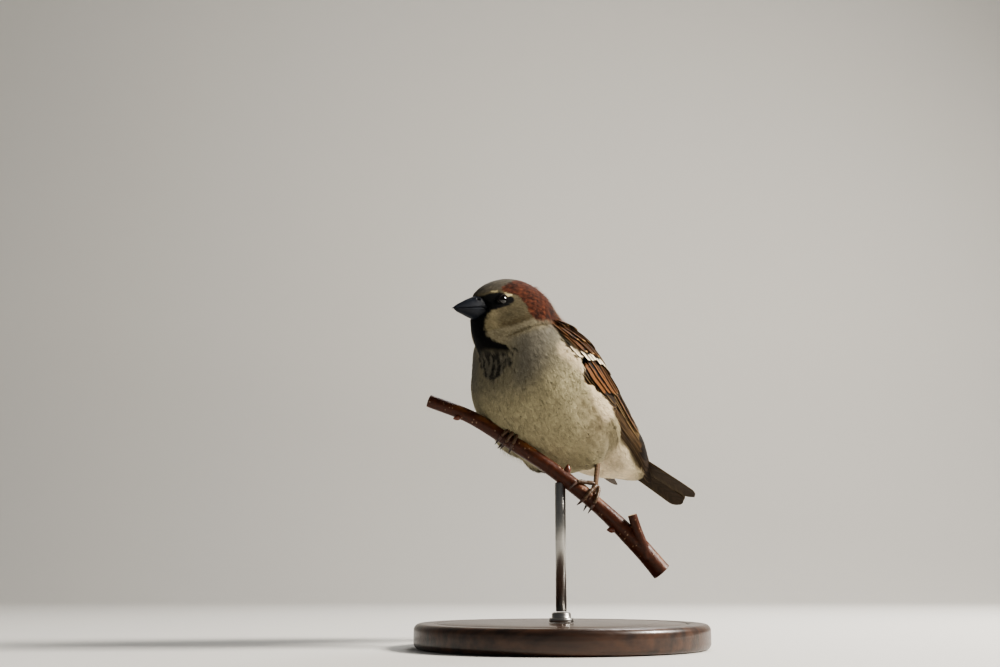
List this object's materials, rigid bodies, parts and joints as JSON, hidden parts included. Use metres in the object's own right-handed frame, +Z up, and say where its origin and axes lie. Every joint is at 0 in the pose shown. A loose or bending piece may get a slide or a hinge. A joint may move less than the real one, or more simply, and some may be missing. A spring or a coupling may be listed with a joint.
{
  "type": "house sparrow",
  "caption": "Life-size model of a male house sparrow perched on a short length of branch, held up by a plain round display stand with a rod.",
  "frame": {"origin": "centre of the stand base's underside", "axes": "+Z up; the bird looks toward -X and -Y, its tail points toward +X and +Y, and the branch runs along X, falling toward +X"},
  "size_m": [0.126, 0.1293, 0.1519],
  "materials": {
    "plumage": "soft matt feathers, grey, buff, chestnut and black by area",
    "flight_feathers": "dark brown vanes with buff and chestnut edges, slight sheen",
    "bill_horn": "blue-black horn, half gloss",
    "claw_horn": "dark brown horn, half gloss",
    "eye": "very dark brown, wet gloss",
    "leg_skin": "pinkish brown scaly skin",
    "bark": "smooth reddish brown bark with pale pores",
    "stand_wood": "dark stained wood, satin lacquer",
    "stand_metal": "brushed steel"
  },
  "bodies": {
    "root": {"bill_lower": "bill_horn", "bill_upper": "bill_horn", "claw_left_1": "claw_horn", "claw_left_2": "claw_horn", "claw_left_3": "claw_horn", "claw_left_4": "claw_horn", "claw_right_1": "claw_horn", "claw_right_2": "claw_horn", "claw_right_3": "claw_horn", "claw_right_4": "claw_horn", "eye_left": "eye", "eye_right": "eye", "foot_left": "leg_skin", "foot_right": "leg_skin", "head": "plumage", "leg_left": "leg_skin", "leg_right": "leg_skin", "neck": "plumage", "perch": "bark", "stand_base": "stand_wood", "stand_collar": "stand_metal", "stand_rod": "stand_metal", "tail": "flight_feathers", "torso": "plumage", "wing_left": "flight_feathers", "wing_right": "flight_feathers"}
  },
  "joints": []
}
